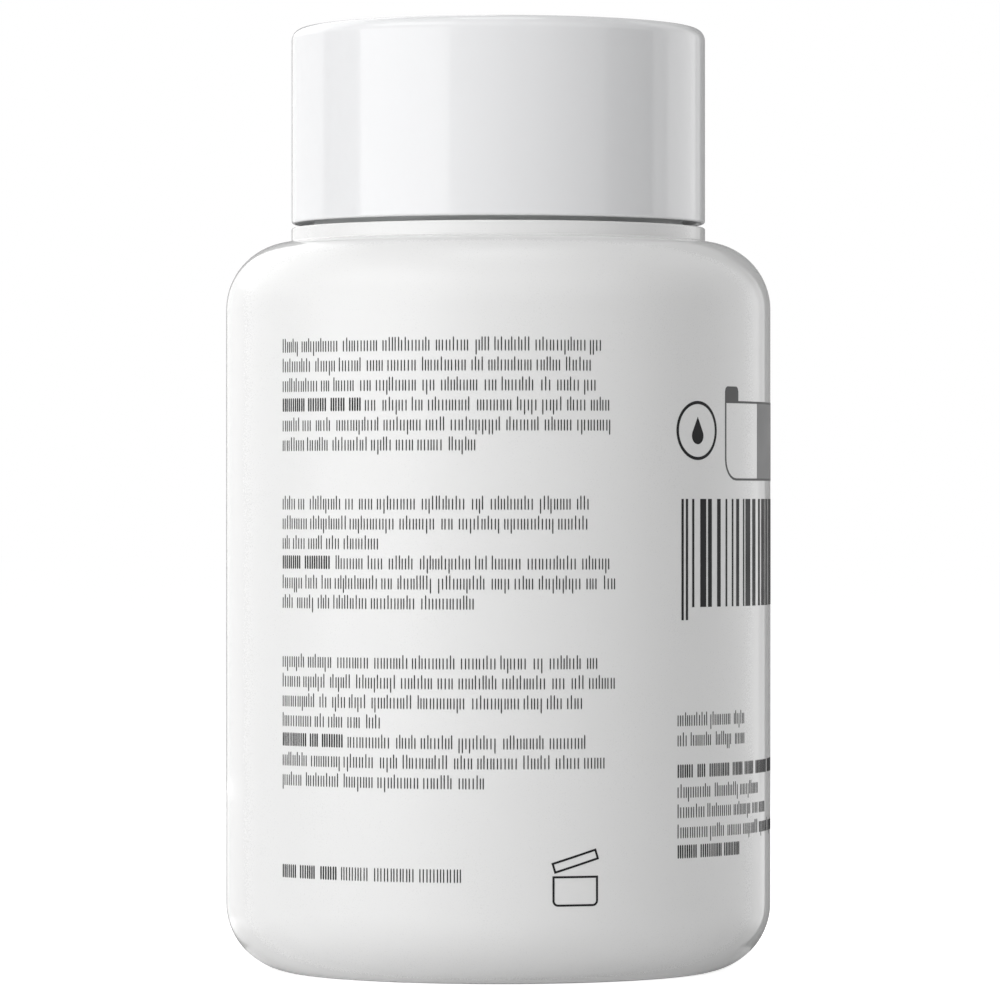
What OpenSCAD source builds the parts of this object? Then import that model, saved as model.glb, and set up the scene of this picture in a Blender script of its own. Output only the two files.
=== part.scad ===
// Sponge-pot bottle for nail polish remover: a blown bottle with a wide threaded neck,
// a foam insert with a finger hole, and a smooth screw cap with an inner threaded cap and a liner.
// The bottle stands on its base ring at z = 0, and every piece turns about the z axis.

/* [Bottle body] */
// Outer diameter of the body
body_d = 50; // [46:0.5:60]
// Height of the shoulder's top over the standing plane
shoulder_z = 66.65; // [50:0.05:90]
// Wall thickness of the blown shell
body_wall = 1.2; // [0.8:0.1:1.8]
// Radius of the round heel
heel_r = 6.2; // [4:0.1:8]
// Depth by which the standing plane cuts the heel's circle
heel_cut = 0.14; // [0.05:0.01:0.3]
// Radius of the round shoulder
shoulder_r = 6.2; // [4:0.1:8]

/* [Base] */
// Width of the flat ring that the bottle stands on
stand_w = 2.4; // [1.5:0.1:4]
// Height of the raised panel's underside over the standing plane
panel_z = 1.5; // [0.5:0.1:3]
// Width of the slope between the standing ring and the panel
panel_slope_w = 1.4; // [0.5:0.1:3]
// Thickness of the panel
panel_t = 1.2; // [0.8:0.1:2]

/* [Collar and neck] */
// Height of the collar over the shoulder's top
collar_h = 1.3; // [0.8:0.05:3]
// Radius of the hollow fillet between the shoulder and the collar
collar_fillet_r = 0.15; // [0.1:0.05:0.6]
// Radius of the collar's upper edge
collar_edge_r = 0.15; // [0.1:0.05:0.4]
// Wall thickness of the neck under the thread
neck_wall = 1.4; // [1.1:0.1:2]
// Radius of the rim's outer edge
rim_edge_r = 0.3; // [0.1:0.05:0.4]
// Chamfer of the rim's inner edge
rim_chamfer = 0.3; // [0.1:0.05:0.4]
// Radius of the edge where the mouth bore meets the shoulder inside
throat_r = 1; // [0.3:0.1:1.5]

/* [Thread] */
// Rise of the thread in one turn
thread_pitch = 4.23; // [3.5:0.01:5]
// Length of both threads in turns
thread_turns = 1.25; // [1:0.05:1.5]
// Height of the ridge over its wall
thread_depth = 1.2; // [0.9:0.05:1.4]
// Width of the ridge at its wall
thread_base_w = 2; // [1.6:0.05:2.2]
// Width of the ridge's flat crest
thread_crest_w = 0.8; // [0.5:0.05:1]
// Distance from the rim down to the middle of the neck thread's upper end
thread_drop = 2.4; // [2:0.1:3.5]
// Clearance between the crest of one thread and the wall of the other
thread_clear = 0.25; // [0.15:0.05:0.4]
// Play along the axis between the flanks that hold the cap down
thread_play = 0.2; // [0.1:0.05:0.4]

/* [Cap] */
// Outer diameter of the cap and of the collar under it
cap_d = 38; // [36:0.1:42]
// Height of the cap
cap_h = 17.9; // [15:0.1:24]
// Gap between the collar and the closed cap
cap_gap = 0.4; // [0.2:0.05:1]
// Radius of the cap's upper edge
cap_edge_r = 1.1; // [0.5:0.1:2]
// Radius of the cap's lower edge
cap_lip_r = 0.25; // [0.1:0.05:0.4]
// Wall thickness of the outer cap
shell_wall = 1.2; // [0.9:0.1:1.8]
// Thickness of the outer cap's top
shell_top_t = 1.2; // [1:0.1:2.5]
// Radius of the outer cap's inner corner
shell_corner_r = 0.5; // [0.2:0.1:0.6]
// Height of the bead that keeps the inner cap in
shell_bead_h = 0.2; // [0.1:0.05:0.3]
// Width of that bead along the axis
shell_bead_w = 0.5; // [0.3:0.05:0.6]
// Width of the recess that thins the cap's lower edge from inside
lip_recess_w = 0.92; // [0.5:0.01:0.95]
// Height of the recess's straight wall
lip_recess_h = 0.4; // [0.2:0.05:0.5]
// Height of the slope from the recess to the bore
lip_slope_h = 0.3; // [0.1:0.05:0.4]

/* [Inner cap] */
// Gap between the collar and the skirt's lower end
skirt_play = 0.05; // [0.03:0.01:0.3]
// Wall thickness of the threaded skirt
skirt_wall = 0.7; // [0.6:0.05:1.2]
// Thickness of the inner cap's top
insert_top_t = 1; // [0.8:0.1:1.6]
// Distance from the cap's lower edge up to the flange round the skirt
flange_inset = 1.3; // [1.2:0.05:2]
// Thickness of the flange
flange_t = 0.8; // [0.6:0.1:1.2]
// Number of ribs between the two caps
rib_count = 12; // [8:1:24]
// Height of the ribs over the skirt
rib_h = 0.83; // [0.5:0.01:1]
// Width of a rib
rib_w = 1; // [0.8:0.1:1.4]
// Distance from the ribs' upper ends to the top of the inner cap
rib_drop = 1.2; // [1:0.1:2]
// Radial clearance of the press fit between the two caps
fit_clear = 0.02; // [0.01:0.01:0.05]

/* [Liner] */
// Thickness of the sealing disc
liner_t = 1.2; // [0.8:0.1:2]
// Radial clearance round the sealing disc
liner_gap = 0.35; // [0.2:0.05:0.5]

/* [Sponge] */
// Clearance between the sponge and the bottle's wall
sponge_gap = 0.3; // [0.2:0.05:0.6]
// Distance from the start of the shoulder round down to the sponge's top
sponge_drop = 2.6; // [0:0.1:12]
// Diameter of the finger hole
hole_d = 14; // [10:0.5:18]
// Thickness of foam under the finger hole
hole_floor = 9.3; // [5:0.1:15]
// Chamfer of the finger hole's mouth
hole_chamfer = 1.5; // [0.5:0.1:2]
// Radius of the sponge's upper edge
sponge_edge_r = 0.8; // [0.3:0.1:1.5]

/* [Hidden] */
$fn = 96;

bottle_colour = [0.93, 0.93, 0.925];
cap_colour = [0.93, 0.935, 0.94];
insert_colour = [0.88, 0.89, 0.89];
liner_colour = [0.95, 0.95, 0.92];
sponge_colour = [0.93, 0.55, 0.66];

// Overrun of every cut
over = 1;
// Depth by which a ridge or bead is rooted in the wall that carries it
root_depth = 0.4;
// Steps of a thread in one turn, and the part of a turn over which its ends fade into the wall
turn_steps = 36;
fade_turns = 0.09;
// Direction in which both threads begin
thread_start = 24;
// Share of the ridge's height and crest that its rounded edges take
crest_round_share = 0.25;

// Circles that shape the body's outline
body_r = body_d / 2;
heel_c = [body_r - heel_r, heel_r - heel_cut];
shoulder_c = [body_r - shoulder_r, shoulder_z - shoulder_r];

// Standing ring and raised panel
stand_r = heel_c[0] + sqrt(pow(heel_r, 2) - pow(heel_c[1], 2));
stand_in_r = stand_r - stand_w;
panel_r = stand_in_r - panel_slope_w;
panel_top = panel_z + panel_t;
inner_floor = heel_c[1] - heel_r + body_wall;

// Heights of the collar, the cap and the rim under it
collar_top = shoulder_z + collar_h;
cap_bottom = collar_top + cap_gap;
cap_top = cap_bottom + cap_h;
shell_ceiling = cap_top - shell_top_t;
insert_ceiling = shell_ceiling - insert_top_t;
rim_z = insert_ceiling - liner_t;
skirt_bottom = collar_top + skirt_play;
flange_bottom = cap_bottom + flange_inset;

// Radii from the cap inwards to the mouth
cap_r = cap_d / 2;
shell_bore_r = cap_r - shell_wall;
lip_recess_r = shell_bore_r + lip_recess_w;
skirt_r = shell_bore_r - fit_clear - rib_h;
skirt_bore_r = skirt_r - skirt_wall;
thread_r = skirt_bore_r - thread_clear;
neck_r = thread_r - thread_depth;
mouth_r = neck_r - neck_wall;
liner_r = skirt_bore_r - liner_gap;

// Place of the two threads: the cap's ridge bears on the underside of the neck's
flank_w = (thread_base_w - thread_crest_w) / 2;
thread_rise = thread_pitch * thread_turns;
neck_thread_z = rim_z - thread_drop - thread_rise;
thread_offset = thread_base_w - (1 + thread_clear / thread_depth) * flank_w + thread_play;
cap_thread_z = neck_thread_z - thread_offset;

// Sponge
sponge_r = body_r - body_wall - sponge_gap;
sponge_top = shoulder_c[1] - sponge_drop;
hole_bottom = panel_top + hole_floor;

// Rectangle between two radii and two heights of a turned outline
module block(r0, z0, r1, z1) {
    translate([r0, z0]) square([r1 - r0, z1 - z0]);
}

// Quarter of a disc about a centre, on the side given by the signs in side
module quarter_disc(centre, radius, side) {
    reach = radius + over;
    translate(centre) intersection() {
        circle(r = radius);
        translate([side[0] < 0 ? -reach : 0, side[1] < 0 ? -reach : 0]) square(reach);
    }
}

// What a round takes off an outline's upper outer corner
module corner_cut(corner, radius) {
    difference() {
        translate([corner[0] - radius, corner[1] - radius]) square(radius + over);
        translate([corner[0] - radius, corner[1] - radius]) circle(r = radius);
    }
}

// Outline of a disc or plug with its upper and lower outer edges rounded
module rounded_slab(radius, z0, z1, top_edge_r, low_edge_r) {
    block(0, z0 + low_edge_r, radius, z1 - top_edge_r);
    if (top_edge_r > 0) {
        block(0, z1 - top_edge_r, radius - top_edge_r, z1);
        quarter_disc([radius - top_edge_r, z1 - top_edge_r], top_edge_r, [1, 1]);
    }
    if (low_edge_r > 0) {
        block(0, z0, radius - low_edge_r, z0 + low_edge_r);
        quarter_disc([radius - low_edge_r, z0 + low_edge_r], low_edge_r, [1, -1]);
    }
}

// Outline of the body, drawn in by inset on every side
module body_outline(inset) {
    heel = heel_r - inset;
    shoulder = shoulder_r - inset;
    block(0, heel_c[1], body_r - inset, shoulder_c[1]);
    block(0, heel_c[1] - heel, heel_c[0], heel_c[1]);
    quarter_disc(heel_c, heel, [1, -1]);
    block(0, shoulder_c[1], shoulder_c[0], shoulder_c[1] + shoulder);
    quarter_disc(shoulder_c, shoulder, [1, 1]);
}

// Hollow fillet in the corner between the shoulder's circle and the collar's wall
module collar_fillet() {
    reach = shoulder_r + collar_fillet_r;
    fillet_x = cap_r + collar_fillet_r;
    fillet_z = shoulder_c[1] + sqrt(pow(reach, 2) - pow(fillet_x - shoulder_c[0], 2));
    centre = [fillet_x, fillet_z];
    touch = shoulder_c + (centre - shoulder_c) * shoulder_r / reach;
    difference() {
        polygon([
            [cap_r - root_depth, touch[1] - root_depth],
            touch,
            centre,
            [cap_r, fillet_z],
            [cap_r - root_depth, fillet_z]
        ]);
        translate(centre) circle(r = collar_fillet_r);
    }
}

// Ridge along a helix: base_r is the wall's radius, out is 1 for a neck and -1 for a cap
module thread_ridge(base_r, low_z, out) {
    steps = round(thread_turns * turn_steps);
    fade_steps = fade_turns * turn_steps;
    rooted = base_r - out * root_depth;
    root_w = thread_base_w + 2 * root_depth * flank_w / thread_depth;
    flank_share = 1 - crest_round_share;
    flank_top_w = root_w + (thread_crest_w - root_w) * flank_share;
    function fade(i) = min(1, i / fade_steps, (steps - i) / fade_steps);
    function ridge(i) = root_depth / 2 + (root_depth / 2 + thread_depth) * fade(i);
    function section(i) =
        let (crest_r = rooted + out * ridge(i), flank_r = rooted + out * ridge(i) * flank_share) [
            [rooted, -root_w / 2],
            [flank_r, -flank_top_w / 2],
            [crest_r, -thread_crest_w * flank_share / 2],
            [crest_r, thread_crest_w * flank_share / 2],
            [flank_r, flank_top_w / 2],
            [rooted, root_w / 2]
        ];
    sides = len(section(0));
    points = [
        for (i = [0:steps], p = section(i))
        let (turn = thread_start + 360 * i / turn_steps)
        [p[0] * cos(turn), p[0] * sin(turn), low_z + thread_pitch * i / turn_steps + p[1]]
    ];
    strip = [
        for (i = [0:steps - 1], k = [0:sides - 1])
        let (a = i * sides + k, b = i * sides + (k + 1) % sides)
        each [[a, b, b + sides], [a, b + sides, a + sides]]
    ];
    last = steps * sides;
    ends = [
        for (k = [1:sides - 2])
        each [[0, k + 1, k], [last, last + k, last + k + 1]]
    ];
    faces = concat(strip, ends);
    polyhedron(points, out > 0 ? faces : [for (f = faces) [f[2], f[1], f[0]]]);
}

// Blown bottle: body, shoulder, collar, neck with its thread, and raised base panel
module bottle() {
    color(bottle_colour) union() {
        rotate_extrude() difference() {
            bottle_outside();
            bottle_inside();
            base_recess();
        }
        thread_ridge(neck_r, neck_thread_z, 1);
    }
}

module bottle_outside() {
    body_outline(0);
    rounded_slab(cap_r, shoulder_c[1], collar_top, collar_edge_r, 0);
    collar_fillet();
    rounded_slab(neck_r, shoulder_c[1], rim_z, rim_edge_r, 0);
}

module bottle_inside() {
    under_shoulder = shoulder_z - body_wall;
    difference() {
        body_outline(body_wall);
        polygon([
            [0, inner_floor - over],
            [stand_in_r + body_wall / 2, inner_floor - over],
            [stand_in_r + body_wall / 2, inner_floor],
            [panel_r + panel_t / 2, panel_top],
            [0, panel_top]
        ]);
    }
    block(0, shoulder_c[1], mouth_r, rim_z + over);
    difference() {
        block(mouth_r - throat_r, under_shoulder, mouth_r + throat_r, under_shoulder + throat_r);
        translate([mouth_r + throat_r, under_shoulder + throat_r]) circle(r = throat_r);
    }
    polygon([
        [mouth_r - rim_chamfer, rim_z - rim_chamfer],
        [mouth_r, rim_z - rim_chamfer],
        [mouth_r + rim_chamfer + over, rim_z + over],
        [mouth_r - rim_chamfer, rim_z + over]
    ]);
}

// Everything under the standing plane, and the slope up to the raised panel
module base_recess() {
    block(0, -heel_r, body_r + over, 0);
    polygon([[0, -over], [stand_in_r, -over], [stand_in_r, 0], [panel_r, panel_z], [0, panel_z]]);
}

// Foam insert with the hole that takes the finger
module sponge() {
    color(sponge_colour) rotate_extrude() difference() {
        intersection() {
            body_outline(body_wall + sponge_gap);
            block(0, panel_top, body_r + over, sponge_top);
        }
        block(0, hole_bottom, hole_d / 2, sponge_top + over);
        polygon([
            [0, sponge_top - hole_chamfer],
            [hole_d / 2, sponge_top - hole_chamfer],
            [hole_d / 2 + hole_chamfer + over, sponge_top + over],
            [0, sponge_top + over]
        ]);
        corner_cut([sponge_r, sponge_top], sponge_edge_r);
    }
}

// Smooth outer cap: thin lower edge, and the bead that keeps the inner cap in
module cap_shell() {
    bead_z = flange_bottom - shell_bead_w;
    recess_top = cap_bottom + lip_recess_h + lip_slope_h;
    color(cap_colour) rotate_extrude() {
        difference() {
            rounded_slab(cap_r, cap_bottom, cap_top, cap_edge_r, cap_lip_r);
            rounded_slab(shell_bore_r, cap_bottom - over, shell_ceiling, shell_corner_r, 0);
            polygon([
                [0, cap_bottom - over],
                [lip_recess_r, cap_bottom - over],
                [lip_recess_r, cap_bottom + lip_recess_h],
                [shell_bore_r, recess_top],
                [0, recess_top]
            ]);
        }
        polygon([
            [shell_bore_r + root_depth, flange_bottom],
            [shell_bore_r, flange_bottom],
            [shell_bore_r - shell_bead_h, bead_z + shell_bead_w / 2],
            [shell_bore_r, bead_z],
            [shell_bore_r + root_depth, bead_z]
        ]);
    }
}

// Inner cap: threaded skirt with a flange, and ribs that fill the space to the outer cap
module cap_insert() {
    color(insert_colour) union() {
        rotate_extrude() difference() {
            union() {
                block(0, skirt_bottom, skirt_r, shell_ceiling);
                block(0, flange_bottom, shell_bore_r - fit_clear, flange_bottom + flange_t);
            }
            block(0, skirt_bottom - over, skirt_bore_r, insert_ceiling);
        }
        intersection() {
            union() {
                for (i = [0:rib_count - 1]) rotate([0, 0, 360 * i / rib_count]) insert_rib();
            }
            translate([0, 0, flange_bottom]) cylinder(r = shell_bore_r - fit_clear, h = cap_h);
        }
        thread_ridge(skirt_bore_r, cap_thread_z, -1);
    }
}

module insert_rib() {
    rib_z = flange_bottom + flange_t / 2;
    translate([skirt_r - root_depth, -rib_w / 2, rib_z])
        cube([root_depth + rib_h + over, rib_w, shell_ceiling - rib_drop - rib_z]);
}

// Sealing disc between the rim and the inner cap
module cap_liner() {
    color(liner_colour) translate([0, 0, rim_z]) cylinder(r = liner_r, h = liner_t);
}

bottle();
sponge();
cap_shell();
cap_insert();
cap_liner();
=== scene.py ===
import math
import random

import bpy
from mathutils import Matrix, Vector


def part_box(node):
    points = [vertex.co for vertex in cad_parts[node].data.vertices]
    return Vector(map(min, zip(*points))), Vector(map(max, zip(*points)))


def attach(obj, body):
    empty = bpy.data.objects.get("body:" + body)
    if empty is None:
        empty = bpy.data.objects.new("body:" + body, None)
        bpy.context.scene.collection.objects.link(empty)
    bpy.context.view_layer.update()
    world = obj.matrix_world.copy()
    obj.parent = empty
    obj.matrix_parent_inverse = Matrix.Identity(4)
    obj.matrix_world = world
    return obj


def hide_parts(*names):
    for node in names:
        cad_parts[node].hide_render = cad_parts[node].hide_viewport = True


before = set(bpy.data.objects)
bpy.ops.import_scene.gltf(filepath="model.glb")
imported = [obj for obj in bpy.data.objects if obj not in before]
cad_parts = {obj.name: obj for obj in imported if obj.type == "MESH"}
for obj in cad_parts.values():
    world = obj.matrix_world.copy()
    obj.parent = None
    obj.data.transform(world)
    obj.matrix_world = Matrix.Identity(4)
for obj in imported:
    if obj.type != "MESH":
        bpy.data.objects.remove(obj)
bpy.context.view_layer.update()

# Sizes that the parts in model.glb give, in metres
BODY_R, RIM_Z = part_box("bottle")[1].x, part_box("bottle")[1].z
CAP_R, CAP_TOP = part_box("cap_shell")[1].x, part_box("cap_shell")[1].z
CAP_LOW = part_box("cap_shell")[0].z
FLANGE_R, INSERT_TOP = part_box("cap_insert")[1].x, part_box("cap_insert")[1].z
SKIRT_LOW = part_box("cap_insert")[0].z
LINER_R, LINER_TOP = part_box("cap_liner")[1].x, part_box("cap_liner")[1].z
SPONGE_R, SPONGE_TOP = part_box("sponge")[1].x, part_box("sponge")[1].z
SPONGE_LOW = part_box("sponge")[0].z

MM = 0.001

# Blown bottle
WALL = 1.2 * MM
SHOULDER_Z = 66.65 * MM
SHOULDER_R = 6.2 * MM
HEEL_R = 6.2 * MM
HEEL_CUT = 0.14 * MM
STAND_W = 2.4 * MM
PANEL_Z = 1.5 * MM
PANEL_SLOPE_W = 1.4 * MM
PANEL_T = SPONGE_LOW - PANEL_Z
COLLAR_H = 1.3 * MM
COLLAR_TOP = SHOULDER_Z + COLLAR_H
COLLAR_FILLET_R = 0.15 * MM
COLLAR_EDGE_R = 0.15 * MM
NECK_WALL = 1.4 * MM
RIM_EDGE_R = 0.35 * MM
THROAT_R = 1.0 * MM
SMALL_EDGE_R = 0.5 * MM
MOULD_LINE_R = 0.07 * MM
MOULD_LINE_SINK = 0.055 * MM
MOULD_LINE_FADE, MOULD_LINE_THINNEST = 0.02, 0.3
MOULD_LINE_STOP = 4
PINCH_LINE_HALF = 14.0 * MM
PINCH_LINE_R = 0.35 * MM
PINCH_LINE_SINK = 0.12 * MM
PINCH_LINE_FADE, PINCH_LINE_THINNEST = 0.2, 0.1

# Outer cap, inner cap and liner
SHELL_WALL = 1.2 * MM
SHELL_BORE_R = CAP_R - SHELL_WALL
SHELL_CORNER_R = 0.5 * MM
CAP_EDGE_R = 1.1 * MM
CAP_LIP_R = 0.25 * MM
BEAD_H = 0.2 * MM
BEAD_W = 0.5 * MM
RIB_H = 0.83 * MM
RIB_W = 1.0 * MM
RIB_EDGE = RIB_W / 5
RIB_COUNT = 12
RIB_DROP = 1.2 * MM
SKIRT_R = FLANGE_R - RIB_H
SKIRT_WALL = 0.7 * MM
SKIRT_BORE_R = SKIRT_R - SKIRT_WALL
FLANGE_T = 0.8 * MM
FLANGE_LIFT = 1.3 * MM
FLANGE_LOW = CAP_LOW + FLANGE_LIFT
LEAD_W = 0.92 * MM
LEAD_H = 0.7 * MM
LEAD_RISE = 0.4 * MM
LEAD_EDGE_R = 0.05 * MM
SKIRT_EDGE_R = 0.15 * MM
RIM_MARK_DEPTH = 0.07 * MM

# Threads
THREAD_PITCH = 4.23 * MM
THREAD_TURNS = 1.25
THREAD_DEPTH = 1.2 * MM
THREAD_CLEAR = 0.25 * MM
THREAD_BASE_W = 2.0 * MM
THREAD_CREST_W = 0.8 * MM
THREAD_PLAY = 0.2 * MM
THREAD_DROP = 2.4 * MM
THREAD_START = math.radians(24)
THREAD_ROOT = 0.3 * MM
THREAD_FLARE = 0.18 * MM
THREAD_FADE = 0.09
OUTWARD, INWARD = 1.0, -1.0
NECK_R = SKIRT_BORE_R - THREAD_CLEAR - THREAD_DEPTH
MOUTH_R = NECK_R - NECK_WALL
FLANK_W = (THREAD_BASE_W - THREAD_CREST_W) / 2
NECK_THREAD_Z = RIM_Z - THREAD_DROP - THREAD_PITCH * THREAD_TURNS
THREAD_OFFSET = THREAD_BASE_W - (1 + THREAD_CLEAR / THREAD_DEPTH) * FLANK_W + THREAD_PLAY
CAP_THREAD_Z = NECK_THREAD_Z - THREAD_OFFSET
# Points of a ridge's section, in shares of its depth, then of its flank and flare, or of half its crest
THREAD_FLANK = (0.0, 0.0, -0.7), (0.08, 0.0, 0.0), (0.2, 0.2, 0.15), (0.6, 0.6, 0.1), (0.8, 0.82, 0.15)
THREAD_CREST = (0.94, 0.72), (1.0, 0.3)

# Sponge
HOLE_R = 7.0 * MM
HOLE_FLOOR_T = 9.3 * MM
HOLE_FLOOR_Z = SPONGE_LOW + HOLE_FLOOR_T
CELL_SIZE, CELL_DEPTH = 1.5 * MM, 0.42 * MM
CELL_PIT = 0.12, 0.6
WAVE_SIZE, WAVE_DEPTH, WAVE_DETAIL = 9.0 * MM, 0.3 * MM, 1.0
FOAM_SEED = 5.0

# How finely pieces are cut; HOLD is how near a run's end its first inner point lies
TURN_STEPS = 224
ARC_STEP = math.radians(5)
LEAST_ARC_STEPS = 3
HOLD = 0.12 * MM
SHORTEST_RUN = 4 * HOLD
SAME_PLACE = HOLD / 100
LONGEST_RUN = 3.0 * MM
MERGE_DISTANCE = MM / 1000
FOAM_STEPS = 288
FOAM_RUN = 0.55 * MM
THREAD_STEPS = 180
PINCH_LINE_STEPS = 24
BEAD_SIDES = 8


# Outlines of turned pieces

def unit(a, b):
    """Direction from a to b in the plane of radius and height."""
    length = math.dist(a, b)
    return ((b[0] - a[0]) / length, (b[1] - a[1]) / length)


def fillet(before, corner, after, radius):
    """Points of the arc that rounds a corner between two straight runs."""
    into, out = unit(before, corner), unit(corner, after)
    turn = math.atan2(into[0] * out[1] - into[1] * out[0], into[0] * out[0] + into[1] * out[1])
    reach = radius * math.tan(abs(turn) / 2)
    side = math.copysign(1, turn)
    start = (corner[0] - into[0] * reach, corner[1] - into[1] * reach)
    centre = (start[0] - side * into[1] * radius, start[1] + side * into[0] * radius)
    steps = max(LEAST_ARC_STEPS, round(abs(turn) / ARC_STEP))
    points = []
    for i in range(steps + 1):
        a = turn * i / steps
        dx, dz = start[0] - centre[0], start[1] - centre[1]
        points.append((centre[0] + dx * math.cos(a) - dz * math.sin(a),
                       centre[1] + dx * math.sin(a) + dz * math.cos(a)))
    return points


def run_between(a, b, longest):
    """Points inside a straight run: one near each end, and evenly spaced ones if it is long."""
    length = math.dist(a, b)
    if length < SHORTEST_RUN:
        return []
    d = unit(a, b)
    inner = length - 2 * HOLD
    pieces = max(1, math.ceil(inner / longest))
    return [(a[0] + d[0] * (HOLD + inner * i / pieces), a[1] + d[1] * (HOLD + inner * i / pieces))
            for i in range(pieces + 1)]


def rounded_outline(corners, longest=LONGEST_RUN):
    """Outline through corners given as (radius, height, rounding)."""
    points = [corners[0][:2]]
    for i in range(1, len(corners)):
        r, z, rounding = corners[i]
        if rounding and i < len(corners) - 1:
            part = fillet(corners[i - 1][:2], (r, z), corners[i + 1][:2], rounding)
        else:
            part = [(r, z)]
        points += run_between(points[-1], part[0], longest)
        points += [p for p in part if math.dist(p, points[-1]) > SAME_PLACE]
    return points


def bottle_corners():
    heel_c = (BODY_R - HEEL_R, HEEL_R - HEEL_CUT)
    heel_angle = math.acos(heel_c[1] / HEEL_R)
    stand_r = heel_c[0] + HEEL_R * math.sin(heel_angle)
    stand_in_r = stand_r - STAND_W
    panel_r = stand_in_r - PANEL_SLOPE_W
    floor_z = heel_c[1] - HEEL_R + WALL
    shoulder_c = (BODY_R - SHOULDER_R, SHOULDER_Z - SHOULDER_R)
    a = math.acos((CAP_R + COLLAR_FILLET_R - shoulder_c[0]) / (SHOULDER_R + COLLAR_FILLET_R))
    touch = (shoulder_c[0] + SHOULDER_R * math.cos(a), shoulder_c[1] + SHOULDER_R * math.sin(a))
    slope = 1 / math.tan(a)
    return [
        (0, PANEL_Z, 0),
        (panel_r, PANEL_Z, SMALL_EDGE_R),
        (stand_in_r, 0, SMALL_EDGE_R),
        (stand_r, 0, SMALL_EDGE_R),
        (BODY_R, (BODY_R - stand_r) * math.tan(heel_angle), HEEL_R),
        (BODY_R, touch[1] - (BODY_R - touch[0]) * slope, SHOULDER_R),
        (CAP_R, touch[1] + (touch[0] - CAP_R) * slope, COLLAR_FILLET_R),
        (CAP_R, COLLAR_TOP, COLLAR_EDGE_R),
        (NECK_R, COLLAR_TOP, SMALL_EDGE_R),
        (NECK_R, RIM_Z, RIM_EDGE_R),
        (MOUTH_R, RIM_Z, RIM_EDGE_R),
        (MOUTH_R, SHOULDER_Z - WALL, THROAT_R),
        (BODY_R - WALL, SHOULDER_Z - WALL, SHOULDER_R - WALL),
        (BODY_R - WALL, floor_z, HEEL_R - WALL),
        (stand_in_r + WALL / 2, floor_z, SMALL_EDGE_R),
        (panel_r + PANEL_T / 2, SPONGE_LOW, SMALL_EDGE_R),
        (0, SPONGE_LOW, 0),
    ]


def cap_shell_corners():
    bead_z = FLANGE_LOW - BEAD_W / 2
    return [
        (0, CAP_TOP, 0),
        (CAP_R, CAP_TOP, CAP_EDGE_R),
        (CAP_R, CAP_LOW, CAP_LIP_R),
        (SHELL_BORE_R + LEAD_W, CAP_LOW, LEAD_EDGE_R),
        (SHELL_BORE_R + LEAD_W, CAP_LOW + LEAD_RISE, 0),
        (SHELL_BORE_R, CAP_LOW + LEAD_H, LEAD_EDGE_R),
        (SHELL_BORE_R, bead_z - BEAD_W / 2, 0),
        (SHELL_BORE_R - BEAD_H, bead_z, SKIRT_EDGE_R),
        (SHELL_BORE_R, bead_z + BEAD_W / 2, 0),
        (SHELL_BORE_R, INSERT_TOP, SHELL_CORNER_R),
        (0, INSERT_TOP, 0),
    ][::-1]


def cap_insert_corners():
    return [
        (0, INSERT_TOP, 0),
        (SKIRT_R, INSERT_TOP, SMALL_EDGE_R),
        (SKIRT_R, FLANGE_LOW + FLANGE_T, SKIRT_EDGE_R),
        (FLANGE_R, FLANGE_LOW + FLANGE_T, SKIRT_EDGE_R),
        (FLANGE_R, FLANGE_LOW, SKIRT_EDGE_R),
        (SKIRT_R, FLANGE_LOW, SKIRT_EDGE_R),
        (SKIRT_R, SKIRT_LOW, SKIRT_EDGE_R),
        (SKIRT_BORE_R, SKIRT_LOW, SKIRT_EDGE_R),
        (SKIRT_BORE_R, LINER_TOP, SMALL_EDGE_R),
        (0, LINER_TOP, 0),
    ][::-1]


def cap_liner_corners():
    low, mark = RIM_Z, RIM_Z + RIM_MARK_DEPTH
    return [
        (0, LINER_TOP, 0),
        (LINER_R, LINER_TOP, SKIRT_EDGE_R),
        (LINER_R, low, SKIRT_EDGE_R),
        (NECK_R + RIM_MARK_DEPTH, low, RIM_MARK_DEPTH),
        (NECK_R - RIM_MARK_DEPTH, mark, RIM_MARK_DEPTH),
        (MOUTH_R + RIM_MARK_DEPTH, mark, RIM_MARK_DEPTH),
        (MOUTH_R - RIM_MARK_DEPTH, low, RIM_MARK_DEPTH),
        (0, low, 0),
    ][::-1]


def sponge_corners():
    inset = BODY_R - SPONGE_R
    heel_c = (BODY_R - HEEL_R, HEEL_R - HEEL_CUT)
    heel = HEEL_R - inset
    side = math.asin((heel_c[1] - SPONGE_LOW) / heel)
    low_r = heel_c[0] + heel * math.cos(side)
    return [
        (0, SPONGE_LOW, 0),
        (low_r, SPONGE_LOW, 0),
        (SPONGE_R, SPONGE_LOW + (SPONGE_R - low_r) * math.tan(math.pi / 2 - side), heel),
        (SPONGE_R, SPONGE_TOP, THROAT_R),
        (HOLE_R, SPONGE_TOP, THROAT_R),
        (HOLE_R, HOLE_FLOOR_Z, THROAT_R),
        (0, HOLE_FLOOR_Z, 0),
    ]


# Node trees

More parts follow.
